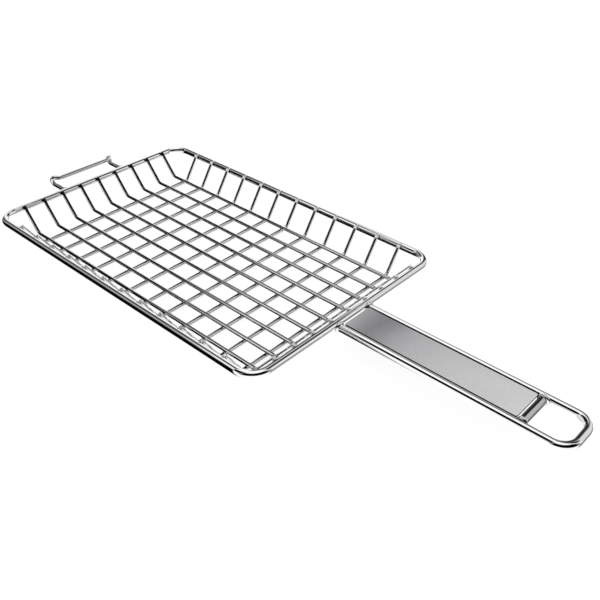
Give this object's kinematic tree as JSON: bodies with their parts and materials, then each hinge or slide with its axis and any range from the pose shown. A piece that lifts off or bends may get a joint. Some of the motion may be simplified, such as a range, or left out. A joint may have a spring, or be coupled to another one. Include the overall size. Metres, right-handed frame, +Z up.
{
  "type": "grill basket",
  "caption": "Shallow rectangular wire basket with sloping walls, a closed rod rim, a flat plated handle ending in a hanging eye, and a bent wire loop at the front.",
  "frame": {"origin": "on the surface the basket rests on, under the middle of the floor, halfway between the two ends and the two sides of the rim", "axes": "+X along the basket towards the handle, +Y across the basket, +Z up"},
  "size_m": [0.5092, 0.204, 0.0289],
  "materials": {
    "bright_steel": "electropolished stainless wire and rod, near mirror with faint drawing lines",
    "satin_plate": "fine satin sheet, grain along the handle",
    "weld_steel": "polished weld bead, slightly uneven"
  },
  "bodies": {
    "root": {"crossbar_beads": "weld_steel", "crosswise_wire_1": "bright_steel", "crosswise_wire_10": "bright_steel", "crosswise_wire_11": "bright_steel", "crosswise_wire_12": "bright_steel", "crosswise_wire_2": "bright_steel", "crosswise_wire_3": "bright_steel", "crosswise_wire_4": "bright_steel", "crosswise_wire_5": "bright_steel", "crosswise_wire_6": "bright_steel", "crosswise_wire_7": "bright_steel", "crosswise_wire_8": "bright_steel", "crosswise_wire_9": "bright_steel", "front_loop": "bright_steel", "front_loop_beads": "weld_steel", "handle_crossbar": "bright_steel", "handle_plate": "satin_plate", "handle_rod": "bright_steel", "handle_root_beads": "weld_steel", "lengthwise_wire_1": "bright_steel", "lengthwise_wire_2": "bright_steel", "lengthwise_wire_3": "bright_steel", "lengthwise_wire_4": "bright_steel", "lengthwise_wire_5": "bright_steel", "lengthwise_wire_6": "bright_steel", "lengthwise_wire_7": "bright_steel", "lengthwise_wire_8": "bright_steel", "lengthwise_wire_9": "bright_steel", "plate_tacks": "weld_steel", "rim": "bright_steel"}
  },
  "joints": []
}
